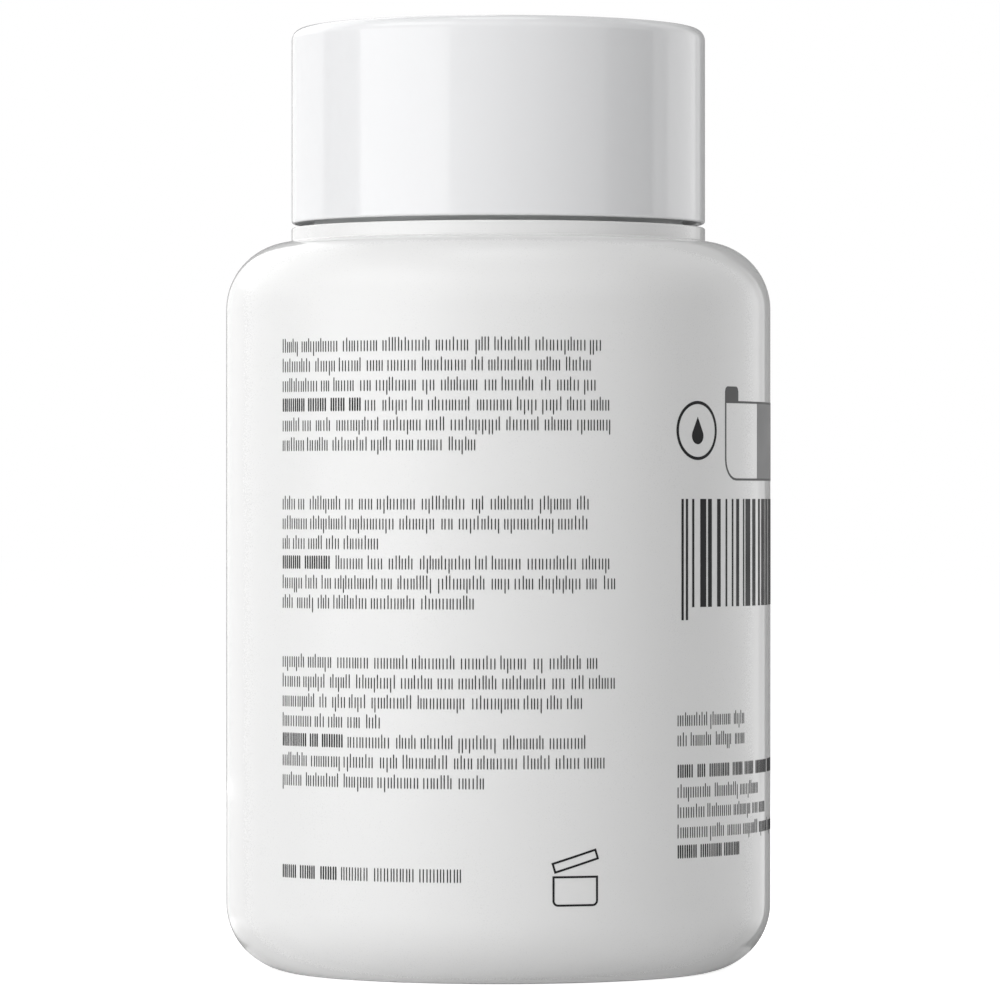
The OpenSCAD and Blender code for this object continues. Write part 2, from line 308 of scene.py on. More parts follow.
class Wiring:
    """Short calls that add a node to a tree and join it to others."""

    def __init__(self, tree):
        self.tree = tree

    def node(self, kind, values=(), **settings):
        made = self.tree.nodes.new(kind)
        for key, value in settings.items():
            setattr(made, key, value)
        for key, value in dict(values).items():
            self.feed(made.inputs[key], value)
        return made

    def feed(self, socket, value):
        if isinstance(value, bpy.types.NodeSocket):
            self.tree.links.new(value, socket)
        else:
            socket.default_value = value

    def math(self, operation, a, b=0.0):
        return self.node("ShaderNodeMath", {0: a, 1: b}, operation=operation).outputs[0]

    def times(self, first, *others):
        for other in others:
            first = self.math("MULTIPLY", first, other)
        return first

    def ramp(self, value, start, end, low=0.0, high=1.0, smooth=True):
        """Goes from low to high while value goes from start to end."""
        return self.node("ShaderNodeMapRange",
                         {"Value": value, "From Min": start, "From Max": end, "To Min": low, "To Max": high},
                         interpolation_type="SMOOTHSTEP" if smooth else "LINEAR").outputs[0]

    def cloud(self, place, scale, detail):
        return self.node("ShaderNodeTexNoise", {"Vector": place, "Scale": scale, "Detail": detail}).outputs[0]

    def cells(self, place, scale):
        """Distance from the middle of the nearest cell, as a share of a cell's size."""
        return self.node("ShaderNodeTexVoronoi", {"Vector": place, "Scale": scale},
                         feature="F1").outputs["Distance"]

    def xyz(self, x, y, z):
        return self.node("ShaderNodeCombineXYZ", {0: x, 1: y, 2: z}).outputs[0]

    def split(self, vector):
        return self.node("ShaderNodeSeparateXYZ", {0: vector}).outputs


def new_tree(name, *sizes):
    """Starts a Geometry Nodes tree that takes a mesh, some sizes and a material and gives a mesh."""
    tree = bpy.data.node_groups.new(name, "GeometryNodeTree")
    for label, kind, value in (("Geometry", "Geometry", None), *sizes, ("Material", "Material", None)):
        socket = tree.interface.new_socket(label, in_out="INPUT", socket_type="NodeSocket" + kind)
        if value is not None:
            socket.default_value = value
    tree.interface.new_socket("Geometry", in_out="OUTPUT", socket_type="NodeSocketGeometry")
    w = Wiring(tree)
    w.given = w.node("NodeGroupInput").outputs
    return w


def finished_tree(w, geometry):
    """Shades the mesh smooth, realizes it and gives it its material."""
    smooth = w.node("GeometryNodeSetShadeSmooth", {"Geometry": geometry})
    real = w.node("GeometryNodeRealizeInstances", {"Geometry": smooth.outputs[0]})
    coat = w.node("GeometryNodeSetMaterial", {"Geometry": real.outputs[0], "Material": w.given["Material"]})
    w.node("NodeGroupOutput", {0: coat.outputs[0]})
    return w.tree


def grid_from_outline(w):
    """A grid with a row for each step and a column for each point of the input outline.

    Returns the grid, the column's own point and the row's share of the way.
    """
    outline, steps = w.given["Geometry"], w.given["Steps"]
    size = w.node("GeometryNodeAttributeDomainSize", {"Geometry": outline})
    count = size.outputs["Point Count"]
    grid = w.node("GeometryNodeMeshGrid", {"Vertices X": w.math("ADD", steps, 1), "Vertices Y": count})
    index = w.node("GeometryNodeInputIndex").outputs[0]
    column = w.math("MODULO", index, count)
    row = w.math("FLOOR", w.math("DIVIDE", index, count))
    place = w.node("GeometryNodeInputPosition").outputs[0]
    sample = w.node("GeometryNodeSampleIndex", {"Geometry": outline, "Value": place, "Index": column},
                    data_type="FLOAT_VECTOR")
    return grid.outputs["Mesh"], sample.outputs[0], w.math("DIVIDE", row, steps)


def moved_and_merged(w, mesh, position):
    """Puts the grid's points in place and closes its seams and poles."""
    put = w.node("GeometryNodeSetPosition", {"Geometry": mesh, "Position": position})
    return w.node("GeometryNodeMergeByDistance",
                  {"Geometry": put.outputs[0], "Distance": MERGE_DISTANCE}).outputs[0]


def turned_grid(w):
    """The input outline turned about the z axis."""
    mesh, point, share = grid_from_outline(w)
    spun = w.node("ShaderNodeVectorRotate", {"Vector": point, "Angle": w.times(share, 2 * math.pi)},
                  rotation_type="Z_AXIS")
    return moved_and_merged(w, mesh, spun.outputs[0])


def way_from_end(w, share):
    return w.math("MINIMUM", share, w.math("SUBTRACT", 1.0, share))


def lathe_tree():
    """Turns an outline about the z axis."""
    w = new_tree("turned_piece", ("Steps", "Int", TURN_STEPS))
    return finished_tree(w, turned_grid(w))


def foam_tree():
    """Turns an outline about the z axis, swells it unevenly and presses open cells into its skin."""
    w = new_tree("open_cell_foam", ("Steps", "Int", FOAM_STEPS),
                 ("Cell Size", "Float", CELL_SIZE), ("Cell Depth", "Float", CELL_DEPTH),
                 ("Wave Size", "Float", WAVE_SIZE), ("Wave Depth", "Float", WAVE_DEPTH),
                 ("Seed", "Float", FOAM_SEED))
    plain = turned_grid(w)
    seed = w.given["Seed"]
    place = w.node("GeometryNodeInputPosition").outputs[0]
    shifted = w.node("ShaderNodeVectorMath", {0: place, 1: w.xyz(seed, seed, 0.0)}).outputs[0]
    pit = w.ramp(w.cells(shifted, w.math("DIVIDE", 1.0, w.given["Cell Size"])), *CELL_PIT, 1.0, 0.0)
    wave = w.cloud(shifted, w.math("DIVIDE", 1.0, w.given["Wave Size"]), WAVE_DETAIL)
    sink = w.math("ADD", w.times(pit, w.given["Cell Depth"]), w.times(wave, w.given["Wave Depth"]))
    normal = w.node("GeometryNodeInputNormal").outputs[0]
    inward = w.node("ShaderNodeVectorMath", {0: normal, "Scale": w.times(sink, -1.0)}, operation="SCALE")
    pressed = w.node("GeometryNodeSetPosition", {"Geometry": plain, "Offset": inward.outputs[0]})
    return finished_tree(w, pressed.outputs[0])


def thread_tree():
    """Sweeps a ridge's section along a helix and fades it to a point at both ends.

    The section gives height in x and offset along the axis in z, both in metres.
    """
    w = new_tree("thread_ridge", ("Steps", "Int", THREAD_STEPS), ("Wall Radius", "Float", NECK_R),
                 ("Side", "Float", OUTWARD), ("Low Height", "Float", NECK_THREAD_Z),
                 ("Pitch", "Float", THREAD_PITCH), ("Turns", "Float", THREAD_TURNS),
                 ("Start", "Float", THREAD_START), ("Fade", "Float", THREAD_FADE))
    given = w.given
    mesh, point, share = grid_from_outline(w)
    fade = w.ramp(way_from_end(w, share), 0.0, given["Fade"])
    height, _, offset = w.split(point)
    rise = w.times(w.math("ADD", height, THREAD_ROOT), fade)
    out = w.times(w.math("SUBTRACT", rise, THREAD_ROOT), given["Side"])
    radius = w.math("ADD", given["Wall Radius"], out)
    turns = w.times(share, given["Turns"])
    angle = w.math("ADD", w.times(turns, 2 * math.pi), given["Start"])
    climb = w.math("ADD", given["Low Height"], w.times(turns, given["Pitch"]))
    place = w.xyz(w.times(radius, w.math("COSINE", angle)), w.times(radius, w.math("SINE", angle)),
                  w.math("ADD", climb, w.times(offset, fade)))
    return finished_tree(w, moved_and_merged(w, mesh, place))


def ring_tree():
    """Sets copies of the input mesh at even angles about the z axis."""
    w = new_tree("ring_of_ribs", ("Count", "Int", RIB_COUNT))
    count = w.given["Count"]
    line = w.node("GeometryNodeMeshLine", {"Count": count, "Offset": (0, 0, 0)})
    index = w.node("GeometryNodeInputIndex").outputs[0]
    angle = w.times(w.math("DIVIDE", index, count), 2 * math.pi)
    copies = w.node("GeometryNodeInstanceOnPoints",
                    {"Points": line.outputs["Mesh"], "Instance": w.given["Geometry"],
                     "Rotation": w.xyz(0.0, 0.0, angle)})
    return finished_tree(w, copies.outputs[0])


def wrapped_on_body(w, geometry):
    """Bends flat geometry round the body: x is the way round from the front and z is the height."""
    radius = w.given["Radius"]
    x, y, z = w.split(w.node("GeometryNodeInputPosition").outputs[0])
    angle = w.math("DIVIDE", x, radius)
    reach = w.math("SUBTRACT", radius, y)
    place = w.xyz(w.times(reach, w.math("SINE", angle)), w.times(reach, w.math("COSINE", angle), -1.0), z)
    return w.node("GeometryNodeSetPosition", {"Geometry": geometry, "Position": place}).outputs[0]


def tick_tree():
    """Sets a printed tick at each input point, as wide and tall as its attributes say."""
    w = new_tree("printed_ticks", ("Tick", "Object", None), ("Radius", "Float", BODY_R))
    tick = w.node("GeometryNodeObjectInfo", {"Object": w.given["Tick"]})
    wide, tall = (w.node("GeometryNodeInputNamedAttribute", {"Name": label}, data_type="FLOAT").outputs[0]
                  for label in ("wide", "tall"))
    placed = w.node("GeometryNodeInstanceOnPoints",
                    {"Points": w.given["Geometry"], "Instance": tick.outputs["Geometry"],
                     "Scale": w.xyz(wide, 1.0, tall)})
    real = w.node("GeometryNodeRealizeInstances", {"Geometry": placed.outputs[0]})
    return finished_tree(w, wrapped_on_body(w, real.outputs[0]))


def flat_print_tree():
    """Wraps flat printed shapes on the body."""
    w = new_tree("printed_shapes", ("Radius", "Float", BODY_R))
    return finished_tree(w, wrapped_on_body(w, w.given["Geometry"]))


def bead_tree():
    """Runs a thin round bead along the input outline and lets it thin out towards its ends."""
    w = new_tree("raised_bead", ("Radius", "Float", MOULD_LINE_R), ("Fade", "Float", MOULD_LINE_FADE),
                 ("Thinnest", "Float", MOULD_LINE_THINNEST))
    path = w.node("GeometryNodeMeshToCurve", {"Mesh": w.given["Geometry"]})
    share = w.node("GeometryNodeSplineParameter").outputs["Factor"]
    size = w.ramp(way_from_end(w, share), 0.0, w.given["Fade"], w.given["Thinnest"])
    sized = w.node("GeometryNodeSetCurveRadius", {"Curve": path.outputs[0], "Radius": size})
    section = w.node("GeometryNodeCurvePrimitiveCircle",
                     {"Resolution": BEAD_SIDES, "Radius": w.given["Radius"]})
    bead = w.node("GeometryNodeCurveToMesh",
                  {"Curve": sized.outputs[0], "Profile Curve": section.outputs[0], "Fill Caps": True})
    return finished_tree(w, bead.outputs[0])


# Meshes and objects

def linked_object(name, data):
    obj = bpy.data.objects.new(name, data)
    bpy.context.scene.collection.objects.link(obj)
    return obj


def new_object(name, points, edges=(), faces=()):
    mesh = bpy.data.meshes.new(name)
    mesh.from_pydata([Vector(p) for p in points], edges, faces)
    return linked_object(name, mesh)


def outline_object(name, points):
    """A line of points given as (radius, height)."""
    edges = [(i, i + 1) for i in range(len(points) - 1)]
    return new_object(name, [(r, 0, z) for r, z in points], edges)


def made_by_tree(source, tree, name, **values):
    """Runs a node tree on source and keeps the result as a plain mesh object."""
    modifier = source.modifiers.new(tree.name, "NODES")
    modifier.node_group = tree
    for socket in tree.interface.items_tree:
        key = socket.name.lower().replace(" ", "_")
        if socket.in_out == "INPUT" and key in values:
            modifier[socket.identifier] = values[key]
    evaluated = source.evaluated_get(bpy.context.evaluated_depsgraph_get())
    mesh = bpy.data.meshes.new_from_object(evaluated)
    source.modifiers.clear()
    bpy.data.objects.remove(source)
    mesh.name = name
    return linked_object(name, mesh)


def volume(mesh):
    """Signed volume, which is negative where faces point inwards."""
    mesh.calc_loop_triangles()
    total = 0.0
    for t in mesh.loop_triangles:
        a, b, c = (mesh.vertices[i].co for i in t.vertices)
        total += a.dot(b.cross(c))
    return total / 6


def faced_outwards(obj):
    if volume(obj.data) < 0:
        obj.data.flip_normals()
    return obj


def turned(name, corners, tree, material):
    source = outline_object(name + "_outline", rounded_outline(corners))
    return faced_outwards(made_by_tree(source, tree, name, steps=TURN_STEPS, material=material))


def foam_piece(name, tree, material):
    source = outline_object(name + "_outline", rounded_outline(sponge_corners(), FOAM_RUN))
    return faced_outwards(made_by_tree(source, tree, name, material=material))


# Materials

PLASTIC_IOR = 1.49
# A cloud's scale and detail
TONE_CLOUD, GRIT_CLOUD = (60.0, 3.0), (9000.0, 1.0)
GLOSS_SCALE, GLOSS_DETAIL, GRAIN_DETAIL = 220.0, 4.0, 2.0
CLOUD_SPREAD = 0.3, 0.7
GLANCING_SPAN = 0.55, 0.76
GRIT = 0.72, 1.28
INK_GLOSS = 0.2
# The deep foam tone is painted shade: it darkens the middles of the cells, where the pores lie in shade
FOAM_PORE_SHADE, FOAM_PALE = (0.50, 0.11, 0.20), (0.86, 0.36, 0.47)
FOAM_CELL_SCALE = 1500.0
FOAM_RIB_SPAN = 0.15, 0.62
FOAM_ROUGH, FOAM_GLOSS_SCALE = (0.45, 0.7), 400.0
FOAM_BUMP = 0.25 * MM
# The colour mixer's sockets
MIX_A, MIX_B, MIX_OUT = 6, 7, 2


def new_material(name):
    """A new material, its wiring and its shader."""
    material = bpy.data.materials.new(name)
    material.use_nodes = True
    return material, Wiring(material.node_tree), material.node_tree.nodes["Principled BSDF"]


def object_place(w):
    return w.node("ShaderNodeTexCoord").outputs["Object"]


def add_colour(w, shader, share, deep, pale):
    """Colour between a deep and a pale tone."""
    mix = w.node("ShaderNodeMix", {"Factor": share, MIX_A: (*deep, 1), MIX_B: (*pale, 1)}, data_type="RGBA")
    w.feed(shader.inputs["Base Color"], mix.outputs[MIX_OUT])


def add_roughness(w, shader, place, rough, scale, glancing=1.0):
    """Uneven gloss, which sharpens where the surface turns away if glancing is under one."""
    roughness = w.ramp(w.cloud(place, scale, GLOSS_DETAIL), *CLOUD_SPREAD, *rough, smooth=False)
    if glancing < 1.0:
        facing = w.node("ShaderNodeLayerWeight").outputs["Facing"]
        sharper = w.ramp(facing, *GLANCING_SPAN, 1.0, glancing, smooth=False)
        grit = w.ramp(w.cloud(place, *GRIT_CLOUD), *CLOUD_SPREAD, *GRIT, smooth=False)
        roughness = w.times(roughness, sharper, grit)
    w.feed(shader.inputs["Roughness"], roughness)


def add_bump(w, shader, height, distance):
    bump = w.node("ShaderNodeBump", {"Height": height, "Distance": distance})
    w.feed(shader.inputs["Normal"], bump.outputs[0])


def moulded_plastic(name, pale, deep, rough, grain_scale, grain_depth, glancing=1.0):
    """Moulded plastic with a fine skin, a slight drift of tone and an uneven gloss."""
    material, w, shader = new_material(name)
    place = object_place(w)
    add_colour(w, shader, w.cloud(place, *TONE_CLOUD), deep, pale)
    add_roughness(w, shader, place, rough, GLOSS_SCALE, glancing)
    add_bump(w, shader, w.cloud(place, grain_scale, GRAIN_DETAIL), grain_depth)
    shader.inputs["IOR"].default_value = PLASTIC_IOR
    return material


def blown_bottle_plastic():
    return moulded_plastic("satin_blown_plastic", pale=(0.80, 0.80, 0.797), deep=(0.785, 0.785, 0.782),
                           rough=(0.33, 0.40), grain_scale=2600.0, grain_depth=0.004 * MM, glancing=0.22)


def gloss_cap_plastic():
    return moulded_plastic("gloss_cap_plastic", pale=(0.80, 0.803, 0.812), deep=(0.79, 0.793, 0.803),
                           rough=(0.10, 0.14), grain_scale=900.0, grain_depth=0.0006 * MM)


def inner_cap_plastic():
    return moulded_plastic("natural_inner_plastic", pale=(0.74, 0.75, 0.75), deep=(0.71, 0.72, 0.72),
                           rough=(0.35, 0.45), grain_scale=1500.0, grain_depth=0.003 * MM)


def liner_foam_sheet():
    return moulded_plastic("liner_foam_sheet", pale=(0.82, 0.82, 0.79), deep=(0.76, 0.76, 0.73),
                           rough=(0.6, 0.75), grain_scale=5200.0, grain_depth=0.02 * MM)


def print_ink(name, pale, deep):
    """Screen-printed ink, duller than the plastic under it."""
    material = moulded_plastic(name, pale, deep, rough=(0.5, 0.6), grain_scale=3000.0,
                               grain_depth=0.002 * MM)
    material.node_tree.nodes["Principled BSDF"].inputs["Specular IOR Level"].default_value = INK_GLOSS
    return material


def dark_print_ink():
    return print_ink("dark_print_ink", pale=(0.009, 0.009, 0.010), deep=(0.006, 0.006, 0.007))


def grey_print_ink():
    return print_ink("grey_print_ink", pale=(0.105, 0.105, 0.106), deep=(0.09, 0.09, 0.091))


def pale_print_ink():
    return print_ink("pale_print_ink", pale=(0.25, 0.25, 0.252), deep=(0.23, 0.23, 0.232))


def sponge_foam():
    """Open-cell foam: pale ribs, with painted shade that darkens the cells between them."""
    material, w, shader = new_material("soaked_sponge_foam")
    place = object_place(w)
    ribs = w.ramp(w.cells(place, FOAM_CELL_SCALE), *FOAM_RIB_SPAN, smooth=False)
    # Painted shade: the middles of the cells take the deep tone
    add_colour(w, shader, ribs, FOAM_PORE_SHADE, FOAM_PALE)
    add_roughness(w, shader, place, FOAM_ROUGH, FOAM_GLOSS_SCALE)
    add_bump(w, shader, ribs, FOAM_BUMP)
    return material


# Pieces

def thread_section():
    """Section of a thread ridge, with hollow fillets at the wall and a rounded crest."""
    half_root = THREAD_BASE_W / 2 + FLANK_W * THREAD_ROOT / THREAD_DEPTH
    upper = [(-THREAD_ROOT, half_root + THREAD_FLARE)]
    upper += [(h * THREAD_DEPTH, THREAD_BASE_W / 2 - flank * FLANK_W - flare * THREAD_FLARE)
              for h, flank, flare in THREAD_FLANK]
    upper += [(h * THREAD_DEPTH, THREAD_CREST_W / 2 * crest) for h, crest in THREAD_CREST]
    return upper + [(h, -z) for h, z in reversed(upper)]


def thread_piece(name, tree, wall_r, low_z, side, material):
    section = thread_section()
    source = outline_object(name + "_section", section + section[:1])
    made = made_by_tree(source, tree, name, wall_radius=wall_r, side=side, low_height=low_z,
                        material=material)
    return faced_outwards(made)


def rib_piece(name, tree, material):
    """Ribs between the two caps, each with rounded long edges."""
    low, high = FLANGE_LOW + FLANGE_T / 2, INSERT_TOP - RIB_DROP
    inner, outer = SKIRT_R - RIB_H / 2, FLANGE_R
    half, edge = RIB_W / 2, RIB_EDGE
    loop = [(inner, -half), (outer - edge, -half), (outer, -half + edge),
            (outer, half - edge), (outer - edge, half), (inner, half)]
    n = len(loop)
    points = [(x, y, z) for z in (low, high) for x, y in loop]
    faces = [(i, (i + 1) % n, n + (i + 1) % n, n + i) for i in range(n)]
    faces += [tuple(range(n))[::-1], tuple(range(n, 2 * n))]
    source = new_object(name + "_one", points, faces=faces)
    made = made_by_tree(source, tree, name, count=RIB_COUNT, material=material)
    made.data.shade_flat()
    return faced_outwards(made)


def mould_line_piece(name, tree, material):
    """Parting line of the blow mould, up both sides from the heel to just short of the collar's top edge."""
    outline = rounded_outline(bottle_corners())
    top = max(i for i, p in enumerate(outline) if p[1] < COLLAR_TOP and p[0] > CAP_R - HOLD) - MOULD_LINE_STOP
    first = next(i for i, p in enumerate(outline) if p[0] > BODY_R - HEEL_R / 2)
    side = [(r - MOULD_LINE_SINK, z) for r, z in outline[first:top]]
    n = len(side)
    points = [(r, 0, z) for r, z in side] + [(-r, 0, z) for r, z in side]
    edges = [(i, i + 1) for i in range(n - 1)] + [(n + i, n + i + 1) for i in range(n - 1)]
    source = new_object(name + "_path", points, edges)
    return faced_outwards(made_by_tree(source, tree, name, material=material))


def pinch_line_piece(name, tree, material):
    """Ridge across the base panel, where the mould pinched the hot tube shut."""
    steps = PINCH_LINE_STEPS
    points = [(PINCH_LINE_HALF * (2 * i / steps - 1), 0, PANEL_Z + PINCH_LINE_SINK)
              for i in range(steps + 1)]
    edges = [(i, i + 1) for i in range(steps)]
    source = new_object(name + "_path", points, edges)
    made = made_by_tree(source, tree, name, radius=PINCH_LINE_R, fade=PINCH_LINE_FADE,
                        thinnest=PINCH_LINE_THINNEST, material=material)
    return faced_outwards(made)


# Print on the body: rows of fine upright ticks, stripes and plain outlines

INK_LOW, INK_HIGH = -0.01 * MM, 0.02 * MM
TICK_W, TICK_TALL = 0.1 * MM, 0.98 * MM
BOLD_W, BOLD_TALL = 0.15 * MM, 1.2 * MM
TICK_STEP = (0.25 * MM, 0.36 * MM)
BOLD_STEP = (0.25 * MM, 0.31 * MM)
TICK_RISE, TICK_DROP = 0.27 * MM, 0.35 * MM
RISE_SHARE, DROP_SHARE = 0.18, 0.05
TICK_CUT = 0.28, 0.42
GROUP_GAP = 0.42 * MM
GROUP_SPAN = (1.0 * MM, 4.6 * MM)
LINE_STEP = 1.76 * MM
ROWS_SEED = 7
BLOCK_X = -22.0 * MM
TALL_BLOCK = 9.75 * MM
BLOCKS = [
    (56.65 * MM, ((31.3, 0), (30.4, 0), (30.9, 0), (32.2, 9.3), (32.3, 0), (20.2, 0))),
    (42.63 * MM, ((30.4, 0), (30.2, 0), (11.2, 0), (32.1, 6.2), (32.7, 0), (19.9, 0))),
    (28.56 * MM, ((31.0, 0), (32.7, 0), (29.7, 0), (11.2, 0), (30.0, 7.5), (31.9, 0), (21.0, 0))),
    (TALL_BLOCK, ((18.8, 6.8),)),
]
SIDE_X = 17.3 * MM
SIDE_STEP = 1.79 * MM
SIDE_BLOCKS = [
    (23.35 * MM, ((10.1, 0), (10.0, 0))),
    (18.75 * MM, ((20.0, 20.0), (13.5, 0), (15.8, 0), (20.0, 0), (9.1, 9.1))),
]

STRIPES_X = (17.76 * MM, 43.0 * MM)
STRIPES_Z = (33.45 * MM, 43.1 * MM)
STRIPE_UNIT = 0.264 * MM
STRIPE_WIDES, STRIPE_GAPS = (1, 1, 2, 2, 3, 4), (1, 1, 1, 2, 3)
LONG_STRIPES, LONG_STRIPE_LOW = 2, 32.3 * MM
STRIPE_SEED = 3

RING_PLACE, RING_R = (19.8 * MM, 49.2 * MM), 2.5 * MM
DROP_R, DROP_TIP = 0.75 * MM, 1.7 * MM
RING_LINE = 0.28 * MM
FRAME_X, FRAME_Z = (23.85 * MM, 39.0 * MM), (44.85 * MM, 51.8 * MM)
TAB_W, TAB_TALL, TAB_ROUND = 2.3 * MM, 1.3 * MM, 0.45 * MM
FRAME_ROUND = 1.8 * MM
FRAME_LINE = 0.2 * MM
PANEL_X = (30.4 * MM, 38.5 * MM)
JAR_PLACE, JAR_W, JAR_TALL = (6.9 * MM, 8.5 * MM), 4.0 * MM, 2.5 * MM
JAR_ROUND = 0.4 * MM
LID_PLACE, LID_W, LID_TALL, LID_TILT = (6.9 * MM, 11.15 * MM), 4.1 * MM, 0.8 * MM, math.radians(17)
SYMBOL_LINE = 0.19 * MM

# How finely the print is cut
FLAT_RUN = 0.8 * MM
CORNER_STEPS, ROUND_COLUMNS = 6, 4
DROP_STEPS, RING_STEPS = 20, 56


def tick_object():
    """One tick of ink with cut corners, a unit wide and tall and as thick as the ink."""
    cut_x, cut_z = TICK_CUT
    loop = [(-0.5, -cut_z), (-cut_x, -0.5), (cut_x, -0.5), (0.5, -cut_z),
            (0.5, cut_z), (cut_x, 0.5), (-cut_x, 0.5), (-0.5, cut_z)]
    n = len(loop)
    points = [(x, y, z) for y in (-INK_LOW, -INK_HIGH) for x, z in loop]
    faces = [(i, n + i, n + (i + 1) % n, (i + 1) % n) for i in range(n)]
    faces += [tuple(range(n)), tuple(range(n, 2 * n))[::-1]]
    return new_object("ink_tick", points, faces=faces)


class Ticks:
    """Ticks of ink gathered as points with a width and a height."""

    def __init__(self):
        self.points, self.wides, self.talls = [], [], []

    def tick(self, x, low, high, wide):
        self.points.append((x, 0, (low + high) / 2))
        self.wides.append(wide)
        self.talls.append(high - low)

    def group(self, rng, x, base, span, bold, even):
        """Upright ticks side by side over one span, some of them longer unless it is even."""
        wide, step = (BOLD_W, BOLD_STEP) if bold else (TICK_W, TICK_STEP)
        tall = BOLD_TALL if bold or even else TICK_TALL
        end = x + span - wide / 2
        at = x + wide / 2
        while at < end:
            low, high = base, base + tall
            kind = 1.0 if bold or even else rng.random()
            if kind < RISE_SHARE:
                high += TICK_RISE
            elif kind < RISE_SHARE + DROP_SHARE:
                low -= TICK_DROP
            self.tick(at, low, high, wide)
            at += rng.uniform(*step)

    def line(self, rng, x, base, length, bold_length, even=False):
        """One line of groups that ends at its full length, and whose first ones may be bold."""
        end = x + length
        bold_end = x + bold_length
        while x < end - GROUP_SPAN[0] / 2:
            bold = x < bold_end - GROUP_SPAN[0] / 2
            stop = bold_end if bold else end
            span = min(rng.uniform(*GROUP_SPAN), stop - x)
            if stop - x - span < GROUP_GAP + GROUP_SPAN[0]:
                span = stop - x
            self.group(rng, x, base, span, bold, even)
            x += span + GROUP_GAP

    def piece(self, name, tree, tick, material):
        source = new_object(name + "_points", self.points)
        for label, values in (("wide", self.wides), ("tall", self.talls)):
            source.data.attributes.new(label, "FLOAT", "POINT").data.foreach_set("value", values)
        made = made_by_tree(source, tree, name, tick=tick, material=material)
        made.data.shade_flat()
        return made


def printed_ticks():
    rng = random.Random(ROWS_SEED)
    ticks = Ticks()
    for x, step, blocks in ((BLOCK_X, LINE_STEP, BLOCKS), (SIDE_X, SIDE_STEP, SIDE_BLOCKS)):
        for top, lines in blocks:
            for i, (length, bold_length) in enumerate(lines):
                base = top - i * step - TICK_TALL / 2
                ticks.line(rng, x, base, length * MM, bold_length * MM, top == TALL_BLOCK)
    return ticks


def arc_points(centre, radius, start, end, steps):
    return [(centre[0] + radius * math.cos(start + (end - start) * i / steps),
             centre[1] + radius * math.sin(start + (end - start) * i / steps)) for i in range(steps + 1)]


def rounded_loop(low, high, roundings):
    """A closed rectangle with a rounding at each corner, from the lower left one anticlockwise."""
    corners = [(low[0], low[1]), (high[0], low[1]), (high[0], high[1]), (low[0], high[1])]
    inward = [(1, 1), (-1, 1), (-1, -1), (1, -1)]
    points = []
    for i, ((x, z), (dx, dz), r) in enumerate(zip(corners, inward, roundings)):
        start = math.pi + i * math.pi / 2
        centre, end = (x + dx * r, z + dz * r), start + math.pi / 2
        points += arc_points(centre, r, start, end, CORNER_STEPS) if r else [(x, z)]
    return points


def cut_finely(loop):
    """The same closed loop with points added to its long runs."""
    points = []
    for a, b in zip(loop, loop[1:] + loop[:1]):
        pieces = max(1, math.ceil(math.dist(a, b) / FLAT_RUN))
        points += [(a[0] + (b[0] - a[0]) * i / pieces, a[1] + (b[1] - a[1]) * i / pieces)
                   for i in range(pieces)]
    return points


def corner_drop(inset, rounding):
    """How far a rounded corner lies below a straight edge, at an inset from the side."""
    if inset >= rounding:
        return 0.0
    return rounding - math.sqrt(max(rounding ** 2 - (rounding - inset) ** 2, 0.0))


class Shapes:
    """Flat printed shapes, as thick as the ink, in one mesh."""

    def __init__(self):
        self.points, self.faces = [], []

    def stroke(self, loop, wide):
        """A closed line of even width along an anticlockwise loop."""
        loop = cut_finely(loop)
        n, first = len(loop), len(self.points)
        rings = [[], []]
        for i in range(n):
            into, out = unit(loop[i - 1], loop[i]), unit(loop[i], loop[(i + 1) % n])
            nx, nz = into[1] + out[1], -into[0] - out[0]
            scale = wide / max(nx * nx + nz * nz, 1.0)
            for ring, side in zip(rings, (-1, 1)):
                ring.append((loop[i][0] + side * nx * scale, loop[i][1] + side * nz * scale))
        for y in (-INK_LOW, -INK_HIGH):
            for ring in rings:
                self.points += [(x, y, z) for x, z in ring]
        for i in range(n):
            j = (i + 1) % n
            for a, b in ((0, 1), (1, 3), (3, 2), (2, 0)):
                low, high = first + a * n, first + b * n
                self.faces.append((low + i, low + j, high + j, high + i))

    def fill(self, loop):
        """A small filled shape inside an anticlockwise loop."""
        n, first = len(loop), len(self.points)
        for y in (-INK_LOW, -INK_HIGH):
            self.points += [(x, y, z) for x, z in loop]
        for i in range(n):
            j = (i + 1) % n
            self.faces.append((first + i, first + j, first + n + j, first + n + i))
        self.faces.append(tuple(first + i for i in range(n))[::-1])
        self.faces.append(tuple(first + n + i for i in range(n)))

    def patch(self, x_span, z_span, rounding=0.0):
        """A filled rectangle, cut into columns that can follow the body; its upper corners may be round."""
        longest = rounding / ROUND_COLUMNS if rounding else FLAT_RUN
        columns = math.ceil((x_span[1] - x_span[0]) / longest)
        first, n = len(self.points), columns + 1
        xs = [x_span[0] + (x_span[1] - x_span[0]) * i / columns for i in range(n)]
        lows = [z_span[0]] * n
        highs = [z_span[1] - corner_drop(min(x - x_span[0], x_span[1] - x), rounding) for x in xs]
        for y, zs in ((-INK_LOW, lows), (-INK_LOW, highs), (-INK_HIGH, highs), (-INK_HIGH, lows)):
            self.points += [(x, y, z) for x, z in zip(xs, zs)]
        for i in range(columns):
            for a in range(4):
                low, high = first + a * n + i, first + (a + 1) % 4 * n + i
                self.faces.append((low, low + 1, high + 1, high))
        self.faces.append(tuple(first + a * n for a in range(4)))
        self.faces.append(tuple(first + a * n + n - 1 for a in (3, 2, 1, 0)))

    def piece(self, name, tree, material):
        source = new_object(name + "_flat", self.points, faces=self.faces)
        made = made_by_tree(source, tree, name, material=material)
        made.data.shade_flat()
        return faced_outwards(made)


